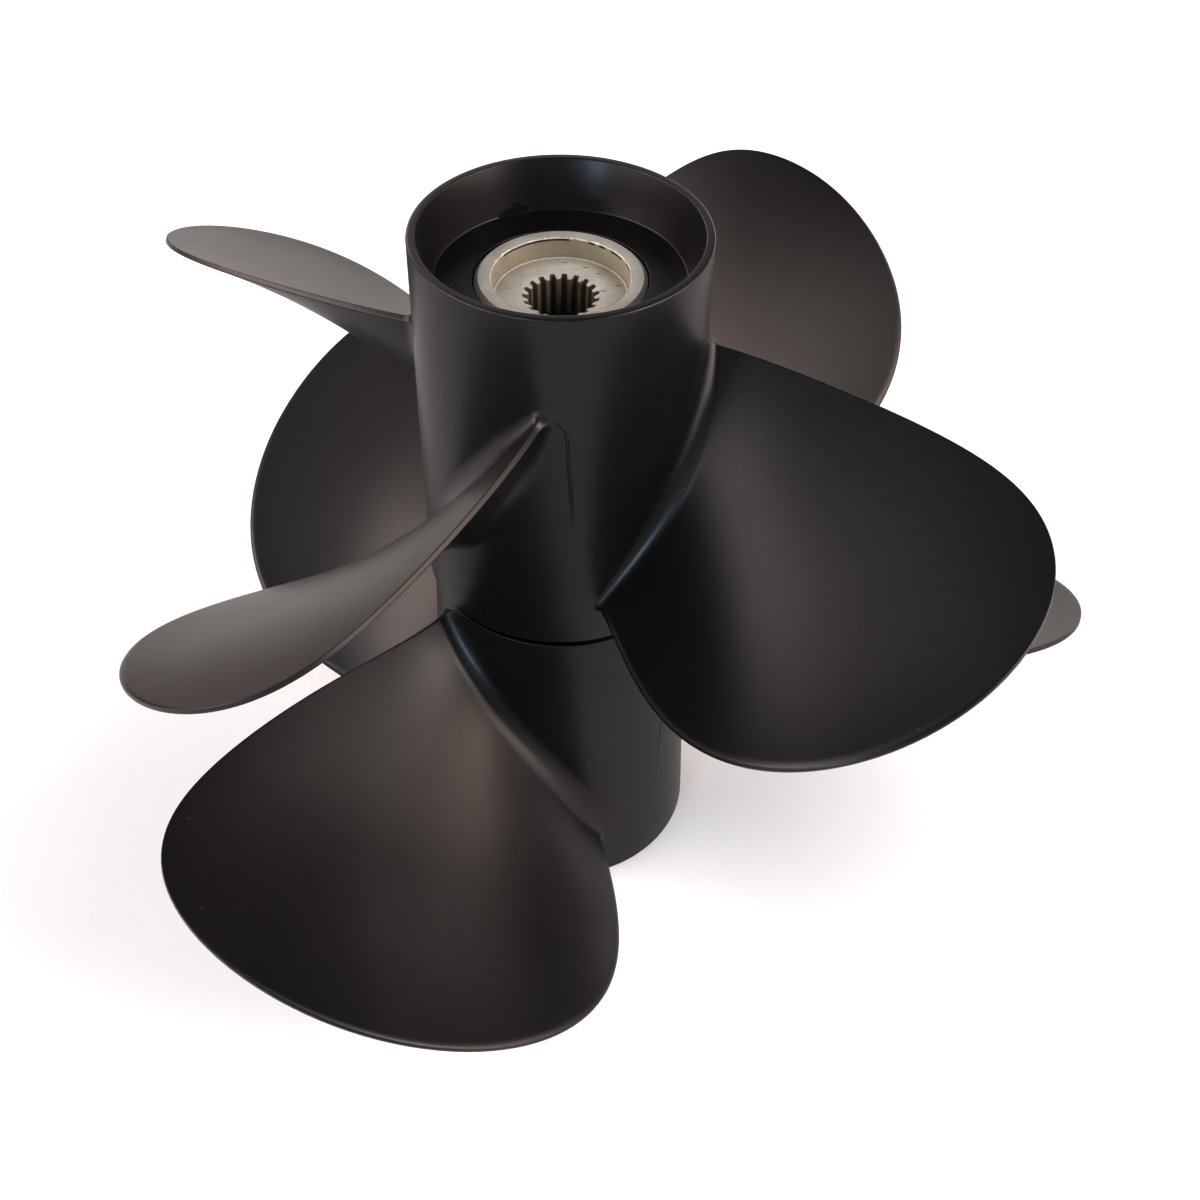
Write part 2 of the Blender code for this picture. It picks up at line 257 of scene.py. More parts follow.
# Light tent: panel 0 stands on the viewer's side and the others follow to the right; each is (watts, tint)
TENT_RADIUS = 2.4
TENT_MIDDLE = 0.15
WALL_PANELS = 12
WARM = (1.0, 0.84, 0.78)
PLAIN = (1.0, 0.97, 0.95)
COOL = (0.78, 0.88, 1.0)
TENT_WALLS = (
    (0.02, 0.7, {1: (2.0, COOL), 2: (18.5, PLAIN), 3: (7.5, PLAIN), 5: (12.5, PLAIN), 6: (6.5, PLAIN),
                 9: (4.5, WARM)}),
    (0.7, 1.4, {0: (6.0, COOL), 2: (9.0, PLAIN), 3: (24.0, WARM), 4: (11.5, PLAIN), 6: (4.0, WARM),
                7: (18.0, WARM), 9: (24.5, WARM), 10: (30.0, PLAIN)}),
    (1.4, 2.3, {2: (67.0, PLAIN), 3: (6.5, WARM), 6: (4.0, COOL), 7: (14.5, WARM), 8: (4.0, PLAIN),
                9: (27.5, PLAIN), 10: (19.0, PLAIN), 11: (6.0, COOL)}))
# Sloping panels: slope in degrees, width, and each panel by its angle from the viewer's side
TENT_ROOF = (
    (53, 1.15, {90: (13.5, PLAIN), 270: (6.0, PLAIN), 315: (1.5, COOL)}),
    (72, 1.0, {288: (3.0, COOL)}))
# A small bluish window: degrees from the viewer's side, height, size, watts
WINDOW = (332, 0.42, (0.28, 0.42), 23.0)
WINDOW_INSET = 0.1
SKY = (0.54, 0.76, 1.0)
WORLD_STRENGTH = 0.02
BACKDROP_STRENGTH = 1.0
FLOOR_RADIUS = 2.2
FLOOR_SEGMENTS = 96
FLOOR_GREY = 0.80
FLOOR_ROUGHNESS = 0.9
VIEW_GAMMA = 0.7

# Colours of the paint
PAINT_DARK = (0.0090, 0.0086, 0.0084)
PAINT_LIGHT = (0.0120, 0.0114, 0.0110)
PAINT_WORN = (0.019, 0.018, 0.0175)
PAINT_CHIP = (0.05, 0.047, 0.044)
# Dark colour of the lower blades' cut root ends: painted shade
PAINT_CUT_SHADE = (0.006, 0.006, 0.005)
PAINT_DARK_PATCH = (0.001, 0.001, 0.001)
PAINT_TINT = (1.0, 0.92, 0.90)
PAINT_ROUGHNESS = (0.34, 0.38)
CUT_ROUGHNESS = 0.8
DARK_PATCH_ROUGHNESS = 0.9
# Colours of the metals and the rubber
BUSH_DARK, BUSH_LIGHT = (0.36, 0.345, 0.32), (0.44, 0.425, 0.395)
SPLINE_DARK, SPLINE_LIGHT = (0.50, 0.48, 0.44), (0.60, 0.57, 0.525)
WALL_DARK, WALL_LIGHT = (0.35, 0.31, 0.243), (0.40, 0.355, 0.282)
# Dark colour painted into the slits and the bore as shade
METAL_CREVICE_SHADE = (0.03, 0.026, 0.02)
METAL_BURR = (0.66, 0.64, 0.60)
METAL_DASH = (0.20, 0.185, 0.155)
METAL_DIRT = (0.10, 0.085, 0.065)
METAL_ROUGHNESS = (0.44, 0.60)
METALLIC = 0.1
RUBBER_DARK, RUBBER_LIGHT = (0.012, 0.012, 0.012), (0.025, 0.024, 0.023)
RUBBER_ROUGHNESS = 0.8


def through(values, rho):
    """The smooth curve through values spaced evenly from the hub to the tip."""
    last = len(values) - 1
    total = 0.0
    for i, value in enumerate(values):
        term = value
        for j in range(len(values)):
            if j != i:
                term *= (rho * last - j) / (i - j)
        total += term
    return total


def lower_hub_radius(height):
    share = (height - FOOT) / (SEAM_LOW - FOOT)
    return FOOT_RADIUS + (LOWER_TOP_RADIUS - FOOT_RADIUS) * share


def upper_hub_radius(height):
    return np.full_like(height, UPPER_RADIUS)


def on_axis(radius, angle, height):
    """A point at a radius from the hub axis; angle 0 faces the photograph's viewer."""
    return (AXIS[0] + radius * math.sin(angle), AXIS[1] - radius * math.cos(angle), height)


def mesh_object(name, verts, faces, sharp, zone=None):
    """A closed mesh; zone is a value at each point that the materials read."""
    mesh = bpy.data.meshes.new(name)
    bm = bmesh.new()
    layer = bm.verts.layers.float.new("zone")
    made = [bm.verts.new(v) for v in verts]
    if zone is not None:
        for vert, value in zip(made, zone):
            vert[layer] = value
    for face in faces:
        bm.faces.new([made[i] for i in face])
    bmesh.ops.remove_doubles(bm, verts=bm.verts, dist=WELD)
    bmesh.ops.recalc_face_normals(bm, faces=bm.faces)
    bm.to_mesh(mesh)
    bm.free()
    mesh.shade_smooth()
    mesh.set_sharp_from_angle(angle=math.radians(sharp))
    obj = bpy.data.objects.new(name, mesh)
    bpy.context.scene.collection.objects.link(obj)
    return obj


def ring_grid(name, rows, segments, sharp=35.0):
    """A closed ring: each row is (radius, height, zone), and each of the three may differ round the ring."""
    angles = np.arange(segments) * math.tau / segments
    verts, zones, faces = [], [], []
    for radius, height, zone in rows:
        r, z, mark = (np.broadcast_to(value, (segments,)) for value in (radius, height, zone))
        verts += [on_axis(*point) for point in zip(r, angles, z)]
        zones += list(mark)
    for i in range(len(rows)):
        n = (i + 1) % len(rows)
        for j in range(segments):
            k = (j + 1) % segments
            faces.append((i * segments + j, i * segments + k, n * segments + k, n * segments + j))
    return mesh_object(name, verts, faces, sharp, zones)


def rounded(corners, steps=6):
    """A closed profile with its corners rounded; each corner is (radius, height, rounding)."""
    out = []
    count = len(corners)
    for i, (x, y, rounding) in enumerate(corners):
        here = np.array((x, y))
        before = np.array(corners[i - 1][:2]) - here
        after = np.array(corners[(i + 1) % count][:2]) - here
        u, v = before / np.linalg.norm(before), after / np.linalg.norm(after)
        half = math.acos(max(-1.0, min(1.0, float(u @ v)))) / 2
        reach = rounding / math.tan(half)
        middle = here + (u + v) / np.linalg.norm(u + v) * rounding / math.sin(half)
        start, end = here + u * reach - middle, here + v * reach - middle
        sweep = math.pi - 2 * half
        for k in range(steps + 1):
            t = k / steps
            a = math.sin((1 - t) * sweep) / math.sin(sweep)
            b = math.sin(t * sweep) / math.sin(sweep)
            out.append(tuple(middle + a * start + b * end))
    return out


def densify(profile, longest=12 * MM):
    """Breaks long straight runs of a closed profile, so that quads stay short."""
    out = []
    for (x0, y0), (x1, y1) in zip(profile, profile[1:] + profile[:1]):
        pieces = max(1, math.ceil(math.hypot(x1 - x0, y1 - y0) / longest))
        for k in range(pieces):
            t = k / pieces
            out.append((x0 + (x1 - x0) * t, y0 + (y1 - y0) * t, 0.0))
    return out


def blade_rows(blade):
    """Span positions: close together in the root fillet and towards the tip."""
    span = blade.tip_radius - blade.root_radius
    fillet = [FILLET_UPPER * (1 - math.cos(math.pi / 2 * k / FILLET_ROWS)) / span
              for k in range(FILLET_ROWS + 1)]
    outer = [math.sin(math.pi / 2 * k / SPAN_ROWS) for k in range(1, SPAN_ROWS + 1)]
    return fillet + [rho for rho in outer if rho > fillet[-1] * ROW_SPACING]


def chord_columns():
    """Places across the blade from the leading edge at -1 to the trailing edge at 1, crowded at both."""
    s = np.arange(CHORD_COLUMNS + 1) / CHORD_COLUMNS
    return -np.cos(np.pi * (s - EDGE_CROWDING * np.sin(math.tau * s) / math.tau))


def corner_drop(inset, reach, drop):
    """How far a rounded edge lies under the face, at a distance in from the outline."""
    t = np.clip(1 - inset / reach, 0, 1)
    return drop * (1 - np.sqrt(np.maximum(0, 1 - t * t)))


def section(blade, rho, across):
    """One closed section in the unrolled cylinder at rho.

    Returns points along and off the helix line, their share of the chord, their distance from the
    blade's outline, and 1 for the upper face or 0 for the rest.
    """
    span = blade.tip_radius - blade.root_radius
    width = through(blade.width, rho)
    root = math.sqrt(max(0.0, 1 - rho * rho))
    v = across * root
    q = np.sqrt(rho * rho + v * v)
    slope = np.sqrt((rho / span) ** 2 + (v / width) ** 2) / np.maximum(q, 1e-9)
    inset = np.maximum(0, 1 - q) / np.maximum(slope, 1e-9)
    trailing = TRAILING_EDGE[0] + (TRAILING_EDGE[1] - TRAILING_EDGE[0]) * rho
    wall = LEADING_EDGE + (trailing - LEADING_EDGE) * (1 + v) / 2
    dome = (blade.root_thickness - DOME_EDGE) * (1 - rho) ** TAPER_POWER * (1 - across ** 2)
    t = np.clip((ROLL_FROM - v) / ROLL_SPREAD, 0, 1)
    roll = t * t * (3 - 2 * t)
    reach, drop = CORNER + (ROLL_REACH - CORNER) * roll, CORNER + (ROLL_DROP - CORNER) * roll
    upper = -corner_drop(inset, reach, drop)
    upper += blade.bulge * (1 - across ** 2) * math.exp(-(rho * span / BULGE_FADE) ** 2)
    under = corner_drop(inset, CORNER, CORNER) - wall - dome
    ahead, astern = blade.end_reach
    longer = (astern * (1 + across) - ahead * (1 - across)) / 2 * math.exp(-rho * span / END_REACH_FADE)
    along = through(blade.sweep, rho) + across * width * root + longer
    steps = np.arange(1, WALL_POINTS + 1) / (WALL_POINTS + 1)
    top_wall = upper[-1] + (under[-1] - upper[-1]) * steps
    low_wall = under[0] + (upper[0] - under[0]) * steps
    ones = np.ones(WALL_POINTS)
    return (np.concatenate([along, ones * along[-1], along[::-1], ones * along[0]]),
            np.concatenate([upper, top_wall, under[::-1], low_wall]),
            np.concatenate([across, ones, across[::-1], -ones]),
            np.concatenate([inset, 0 * ones, inset[::-1], 0 * ones]),
            np.concatenate([np.ones_like(across), np.zeros(len(across) + 2 * WALL_POINTS)]))


def flare(blade, along, off, across, upper_face, run_out):
    """Moves a section's points outward by the root fillet at a height run_out over the hub."""
    middle = np.where(upper_face > 0, FILLET_UPPER, FILLET_UNDER)
    ends = blade.end_fillets
    end = ends[0] + (ends[1] - ends[0]) * (1 + across) / 2
    faded = np.clip((1 - across ** 2) * FILLET_END_FADE, 0, 1)
    if blade.flat_end:
        share = np.where(across > 0, 1 - CUT_FILLET_LOSS * across, faded)
    else:
        share = np.where(across > 0, faded, np.clip(1 + across / LEADING_FILLET_FADE, 0, 1))
    size = end + (middle - end) * share
    rise = np.clip(size - run_out, 0, size)
    grow = size - np.sqrt(np.maximum(0, size ** 2 - rise ** 2))
    ta = np.roll(along, -1) - np.roll(along, 1)
    to = np.roll(off, -1) - np.roll(off, 1)
    if blade.flat_end:
        ta = np.where(across > END_TURN, np.where(upper_face > 0, 1.0, -1.0), ta)
        to = np.where(across > END_TURN, 0.0, to)
    length = np.maximum(np.hypot(ta, to), 1e-12)
    along, off = along - grow * to / length, off + grow * ta / length
    if blade.flat_end:
        first = CHORD_COLUMNS
        last = first + WALL_POINTS + 1
        off[first:last + 1] = np.linspace(off[first], off[last], WALL_POINTS + 2)
    return along, off


def add_blade(name, blade, index, hub_radius):
    """One blade wrapped round the hub along its helix, from just inside the hub to the tip."""
    turn = math.radians(blade.azimuth) - index * math.tau / blade.count
    across = chord_columns()
    span = blade.tip_radius - blade.root_radius
    verts, zones = [], []
    rows = blade_rows(blade)

    def place(rho, sink=0.0):
        along, off, share, inset, upper_face = section(blade, rho, across)
        run_out = rho * span
        if run_out < max(FILLET_UPPER, *blade.end_fillets):
            along, off = flare(blade, along, off, share, upper_face, run_out)
        radius = blade.root_radius + run_out
        helix = math.atan2(through(blade.pitch, rho), math.tau * radius)
        azimuth = turn + blade.hand * (along * math.cos(helix) - off * math.sin(helix)) / radius
        middle = FOOT + blade.height + through(blade.rake, rho)
        height = middle + along * math.sin(helix) + off * math.cos(helix)
        seat = hub_radius(height) + SEAT_LIFT - blade.root_radius
        r = radius + seat * (1 - rho) ** ROOT_FOLLOW_POWER - sink
        verts.extend(on_axis(*point) for point in zip(r, azimuth, height))
        zone = np.exp(-inset / WEAR_WIDTH)
        # The cut root end is marked to be painted dark as shade
        if blade.flat_end and run_out < CUT_REACH:
            zone[CHORD_COLUMNS:CHORD_COLUMNS + WALL_POINTS + 2] = CUT_SHADE_ZONE
        zones.extend(zone)

    place(0.0, ROOT_SINK)
    for rho in rows:
        place(rho)
    ring = 2 * len(across) + 2 * WALL_POINTS
    faces = [tuple(range(ring))]
    for i in range(len(rows)):
        for j in range(ring):
            k = (j + 1) % ring
            faces.append((i * ring + j, i * ring + k, (i + 1) * ring + k, (i + 1) * ring + j))
    return mesh_object(name, verts, faces, 55.0, zones)


def smooth_path(points, step):
    """Points at even steps on the smooth curve through the given points."""
    p = np.array(points)
    ends = np.vstack([2 * p[0] - p[1], p, 2 * p[-1] - p[-2]])
    fine = []
    for a, b, c, d in zip(ends[:-3], ends[1:-2], ends[2:-1], ends[3:]):
        for t in np.linspace(0, 1, CURVE_STEPS, endpoint=False):
            fine.append(0.5 * (2 * b + (c - a) * t + (2 * a - 5 * b + 4 * c - d) * t ** 2
                               + (3 * b - a - 3 * c + d) * t ** 3))
    fine = np.array(fine + [p[-1]])
    run = np.concatenate([[0], np.cumsum(np.hypot(*np.diff(fine, axis=0).T))])
    even = np.linspace(0, run[-1], max(2, int(run[-1] / step)))
    return np.column_stack([np.interp(even, run, fine[:, 0]), np.interp(even, run, fine[:, 1])])


def parting_lines(name, blade, path, hub_radius):
    """A thin raised line on the hub beside each blade, fading out at its lower end."""
    verts, faces = [], []
    surface = [(math.radians(a) * blade.root_radius, FOOT + z * MM) for a, z in path]
    line = smooth_path(surface, PARTING_STEP)
    tangent = np.gradient(line, axis=0)
    tangent /= np.linalg.norm(tangent, axis=1)[:, None]
    fade = np.clip(PARTING_FADE * (1 - np.linspace(0, 1, len(line))), 0.0, 1.0)
    ring = len(PARTING_SIDES)
    for index in range(blade.count):
        turn = math.radians(blade.azimuth) - index * math.tau / blade.count
        start = len(verts)
        for (arc, z), (ta, tz), strength in zip(line, tangent, fade):
            for side, lift in zip(PARTING_SIDES, PARTING_LIFTS):
                a = (arc - side * PARTING_HALF_WIDTH * tz) / blade.root_radius
                height = z + side * PARTING_HALF_WIDTH * ta
                radius = float(hub_radius(np.array(height)))
                rise = PARTING_HEIGHT * (lift * strength if lift > 0 else lift)
                verts.append(on_axis(radius + rise - PARTING_SINK, turn + blade.hand * a, height))
        for i in range(len(line) - 1):
            for j in range(ring):
                k = (j + 1) % ring
                a, b = start + i * ring, start + (i + 1) * ring
                faces.append((a + j, a + k, b + k, b + j))
        faces.append(tuple(range(start, start + ring)))
        faces.append(tuple(range(len(verts) - ring, len(verts))))
    return mesh_object(name, verts, faces, 60.0)


def grey(value):
    return (value, value, value)


def node_tree(name):
    material = bpy.data.materials.new(name)
    material.use_nodes = True
    tree = material.node_tree
    return material, tree, tree.nodes["Principled BSDF"]


def noise(tree, coordinates, scale, detail=4.0, roughness=0.5):
    node = tree.nodes.new("ShaderNodeTexNoise")
    node.inputs["Scale"].default_value = scale
    node.inputs["Detail"].default_value = detail
    node.inputs["Roughness"].default_value = roughness
    tree.links.new(coordinates, node.inputs["Vector"])
    return node.outputs["Fac"]


def ramp(tree, value, stops):
    node = tree.nodes.new("ShaderNodeValToRGB")
    elements = node.color_ramp.elements
    while len(elements) < len(stops):
        elements.new(0.5)
    for element, (position, colour) in zip(elements, stops):
        element.position = position
        element.color = (*colour, 1.0)
    tree.links.new(value, node.inputs["Fac"])
    return node.outputs["Color"]


def mix(tree, share, first, second):
    """The first value, replaced by the second, a value or a constant colour, as far as the share says."""
    node = tree.nodes.new("ShaderNodeMix")
    node.data_type = "RGBA"
    tree.links.new(share, node.inputs["Factor"])
    tree.links.new(first, node.inputs[6])
    if isinstance(second, bpy.types.NodeSocket):
        tree.links.new(second, node.inputs[7])
    else:
        node.inputs[7].default_value = (*second, 1.0)
    return node.outputs[2]


def spread(tree, value, low, high, to_low, to_high):
    """The value carried over from one range to another and held at its ends."""
    node = tree.nodes.new("ShaderNodeMapRange")
    for key, number in (("From Min", low), ("From Max", high), ("To Min", to_low), ("To Max", to_high)):
        node.inputs[key].default_value = number
    tree.links.new(value, node.inputs["Value"])
    return node.outputs["Result"]


def bump(tree, height, strength, distance, normal=None):
    node = tree.nodes.new("ShaderNodeBump")
    node.inputs["Strength"].default_value = strength
    node.inputs["Distance"].default_value = distance
    tree.links.new(height, node.inputs["Height"])
    if normal is not None:
        tree.links.new(normal, node.inputs["Normal"])
    return node.outputs["Normal"]


def own_place(tree):
    return tree.nodes.new("ShaderNodeTexCoord").outputs["Object"]


def spot(tree, place, mark, softness=0.4, stretch=1.0):
    """1 in a small mark on the object, which may be drawn out along x, and 0 away from its ragged edge."""
    angle, reach, height, radius = mark
    squeeze = tree.nodes.new("ShaderNodeVectorMath")
    squeeze.operation = "MULTIPLY"
    tree.links.new(place, squeeze.inputs[0])
    squeeze.inputs[1].default_value = (1 / stretch, 1.0, 1.0)
    distance = tree.nodes.new("ShaderNodeVectorMath")
    distance.operation = "DISTANCE"
    tree.links.new(squeeze.outputs["Vector"], distance.inputs[0])
    x, y, z = on_axis(reach, math.radians(angle), height)
    distance.inputs[1].default_value = (x / stretch, y, z)
    ragged = noise(tree, place, scale=0.8 / radius, detail=3.0, roughness=0.6)
    add = tree.nodes.new("ShaderNodeMath")
    add.operation = "MULTIPLY_ADD"
    tree.links.new(ragged, add.inputs[0])
    add.inputs[1].default_value = radius * softness * 2
    tree.links.new(distance.outputs["Value"], add.inputs[2])
    return spread(tree, add.outputs[0], radius * (1 + softness), radius, 0.0, 1.0)


def zone_value(tree):
    node = tree.nodes.new("ShaderNodeAttribute")
    node.attribute_name = "zone"
    return node.outputs["Fac"]


def satin_black():
    """Satin paint: zone 1 is a worn edge and 2 the cut end of a blade's root, rough and painted dark as
    shade.
    """
    material, tree, shader = node_tree("satin_black")
    place = own_place(tree)
    cloud = noise(tree, place, scale=22.0, detail=5.0, roughness=0.6)
    grain = noise(tree, place, scale=1500.0, detail=2.0, roughness=0.6)
    peel = noise(tree, place, scale=420.0, detail=3.0, roughness=0.5)
    paint = ramp(tree, cloud, ((0.3, PAINT_DARK), (0.7, PAINT_LIGHT)))
    zone = zone_value(tree)
    worn = spread(tree, zone, 0.75, 1.0, 0.0, 0.5)
    paint = mix(tree, worn, paint, PAINT_WORN)
    for chip in CHIPS:
        paint = mix(tree, spot(tree, place, chip), paint, PAINT_CHIP)
    # The cut root end: rough, and painted dark as shade
    cut_shade = spread(tree, zone, 1.2, 1.8, 0.0, 1.0)
    paint = mix(tree, cut_shade, paint, PAINT_CUT_SHADE)
    gloss = mix(tree, cut_shade, spread(tree, cloud, 0.3, 0.7, *PAINT_ROUGHNESS), grey(CUT_ROUGHNESS))
    for mark in DARK_PATCHES:
        dark_patch = spot(tree, place, mark)
        paint = mix(tree, dark_patch, paint, PAINT_DARK_PATCH)
        gloss = mix(tree, dark_patch, gloss, grey(DARK_PATCH_ROUGHNESS))
    tree.links.new(paint, shader.inputs["Base Color"])
    tree.links.new(gloss, shader.inputs["Roughness"])
    fine = bump(tree, grain, strength=0.4, distance=0.025 * MM)
    coarse = bump(tree, peel, strength=0.35, distance=0.09 * MM, normal=fine)
    tree.links.new(coarse, shader.inputs["Normal"])
    shader.inputs["IOR"].default_value = 1.5
    shader.inputs["Specular Tint"].default_value = (*PAINT_TINT, 1.0)
    return material


def bare_metal(name, dark, light):
    """Dull plated metal: its faces, bright burrs and browner walls follow the zone, and so does the shade
    painted dark into the slits and the bore.
    """
    material, tree, shader = node_tree(name)
    place = own_place(tree)
    cloud = noise(tree, place, scale=140.0, detail=5.0, roughness=0.6)
    specks = noise(tree, place, scale=1100.0, detail=3.0, roughness=0.6)
    face = ramp(tree, cloud, ((0.3, dark), (0.65, light)))
    wall = ramp(tree, cloud, ((0.35, WALL_DARK), (0.65, WALL_LIGHT)))
    zone = zone_value(tree)
    metal = mix(tree, spread(tree, zone, FACE_ZONE, WALL_ZONE, 0.0, 1.0), face, wall)
    # Zones past the wall's paint the metal dark as shade
    metal = mix(tree, spread(tree, zone, WALL_ZONE, CREVICE_SHADE_ZONE, 0.0, 1.0), metal, METAL_CREVICE_SHADE)
    metal = mix(tree, spread(tree, zone, BURR_ZONE, FACE_ZONE, 1.0, 0.0), metal, METAL_BURR)
    for angle, reach in FLOOR_DASHES:
        dash = spot(tree, place, (angle, reach, CUP_FLOOR, DASH_WIDTH), 0.3, DASH_STRETCH)
        metal = mix(tree, dash, metal, METAL_DASH)
    dirt = spread(tree, specks, 0.28, 0.36, 0.6, 0.0)
    tree.links.new(mix(tree, dirt, metal, METAL_DIRT), shader.inputs["Base Color"])
    tree.links.new(spread(tree, specks, 0.3, 0.7, *METAL_ROUGHNESS), shader.inputs["Roughness"])
    tree.links.new(bump(tree, specks, strength=0.25, distance=0.05 * MM), shader.inputs["Normal"])
    shader.inputs["Metallic"].default_value = METALLIC
    return material


def dull_rubber():
    material, tree, shader = node_tree("dull_rubber")
    grain = noise(tree, own_place(tree), scale=700.0, detail=4.0, roughness=0.6)
    rubber = ramp(tree, grain, ((0.3, RUBBER_DARK), (0.7, RUBBER_LIGHT)))
    tree.links.new(rubber, shader.inputs["Base Color"])
    tree.links.new(bump(tree, grain, strength=0.4, distance=0.1 * MM), shader.inputs["Normal"])
    shader.inputs["Roughness"].default_value = RUBBER_ROUGHNESS
    return material


BLACK = satin_black()
BUSH = bare_metal("bush_metal", BUSH_DARK, BUSH_LIGHT)
SPLINE = bare_metal("spline_metal", SPLINE_DARK, SPLINE_LIGHT)
RUBBER = dull_rubber()


def finish(obj, material, slot, body, *nodes):
    """Gives a new piece its material and body, and hides the nodes that it replaces; the slot is not used.
    """
    obj.data.materials.clear()
    obj.data.materials.append(material)
    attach(obj, body)
    if nodes:
        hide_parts(*nodes)


def upper_hub():
    """The upper casting's hub: barrel with the conical recess, web and core in one ring."""
    profile = rounded([
        (UPPER_RADIUS, HUB_TOP, 0.7 * MM), (UPPER_RADIUS, SEAM_HIGH, 0.4 * MM),
        (UPPER_RADIUS - WALL, SEAM_HIGH, 0.3 * MM), (UPPER_RADIUS - WALL, WEB_LOW, 2.0 * MM),
        (CORE_RADIUS, WEB_LOW, 2.0 * MM), (CORE_RADIUS, UPPER_CORE_LOW, 0.4 * MM),
        (UPPER_CORE_BORE, UPPER_CORE_LOW, 0.4 * MM), (UPPER_CORE_BORE, RECESS_FLOOR, 0.4 * MM),
        (RECESS_FLOOR_RADIUS, RECESS_FLOOR, 0.8 * MM), (RIM_INNER_RADIUS, HUB_TOP, 0.5 * MM)])
    hub = ring_grid("upper_hub_shell", densify(profile), HUB_SEGMENTS)
    finish(hub, BLACK, "satin_black", "upper_propeller",
           "upper_hub_barrel", "upper_hub_web", "upper_hub_core")


def lower_hub():
    """The lower casting's hub: conical barrel, web and core in one ring."""
    inner_top = LOWER_TOP_RADIUS - WALL
    inner_web_high = lower_hub_radius(LOWER_WEB_HIGH) - WALL
    inner_web_low = lower_hub_radius(LOWER_WEB_LOW) - WALL
    profile = rounded([
        (LOWER_TOP_RADIUS, SEAM_LOW, 0.5 * MM), (FOOT_RADIUS, FOOT, 0.8 * MM),
        (FOOT_RADIUS - WALL, FOOT, 0.6 * MM), (inner_web_low, LOWER_WEB_LOW, 2.5 * MM),
        (CORE_RADIUS, LOWER_WEB_LOW, 2.5 * MM), (CORE_RADIUS, LOWER_CORE_LOW, 0.6 * MM),
        (LOWER_CORE_BORE, LOWER_CORE_LOW, 0.6 * MM), (LOWER_CORE_BORE, SEAM_LOW, 0.4 * MM),
        (CORE_RADIUS, SEAM_LOW, 0.4 * MM), (CORE_RADIUS, LOWER_WEB_HIGH, 0.8 * MM),
        (inner_web_high, LOWER_WEB_HIGH, 0.8 * MM), (inner_top, SEAM_LOW, 0.4 * MM)])
    hub = ring_grid("lower_hub_shell", densify(profile), HUB_SEGMENTS)
    finish(hub, BLACK, "satin_black", "lower_propeller",
           "lower_hub_barrel", "lower_hub_web", "lower_hub_core")


def bush_ring():
    """The bare metal ring with its worn inner rim and brown inner wall."""
    angles = np.arange(RING_SEGMENTS) * math.tau / RING_SEGMENTS
    rng = np.random.default_rng(RIM_SEED)
    jag = sum(rng.normal() * np.sin(k * angles + rng.uniform(0, math.tau)) / math.sqrt(k) for k in RIM_WAVES)
    jag = jag / np.abs(jag).max() * RIM_JAG
    slit = np.zeros(RING_SEGMENTS)
    for first, last, depth in RIM_SLITS:
        inside = (angles > math.radians(first)) & (angles < math.radians(last))
        slit[inside] = depth
    # The slits under the worn rim are painted dark as shade
    slit_shade = np.where(slit > 0, CREVICE_SHADE_ZONE, WALL_ZONE)
    burr = BURR_ZONE * np.clip(0.5 + jag / RIM_JAG, 0, 1)
    rows = [
        (RING_RADIUS - RING_BEVEL, RING_TOP, FACE_ZONE), (RING_RADIUS, RING_TOP - RING_BEVEL, BEVEL_ZONE),
        (RING_RADIUS, RING_FOOT, BACK_ZONE), (CUP_FLOOR_RADIUS, RING_FOOT, BACK_ZONE),
        (CUP_FLOOR_RADIUS, CUP_FLOOR - FLANGE_THICKNESS, WALL_FOOT_ZONE),
        (CUP_FLOOR_RADIUS, CUP_FLOOR, WALL_ZONE), (CUP_RADIUS, RING_TOP - SLIT_FOOT, WALL_ZONE),
        (CUP_RADIUS + slit, RING_TOP - SLIT_LOW, slit_shade),
        (CUP_RADIUS + slit, RING_TOP - SLIT_HIGH, slit_shade),
        (CUP_RADIUS + jag, RING_TOP - BURR_LOW - np.abs(jag), burr),
        (CUP_RADIUS + BURR_OUT + jag, RING_TOP - BURR_TOP, burr),
        (CUP_RADIUS + GROOVE_OUT + jag, RING_TOP - BURR_GROOVE, GROOVE_ZONE),
        (CUP_RADIUS + RIM_OUT, RING_TOP, FACE_ZONE)]
    ring = ring_grid("upper_bush_ring", rows, RING_SEGMENTS, sharp=30.0)
    finish(ring, BUSH, "bush_metal", "upper_propeller", "upper_bush_sleeve")


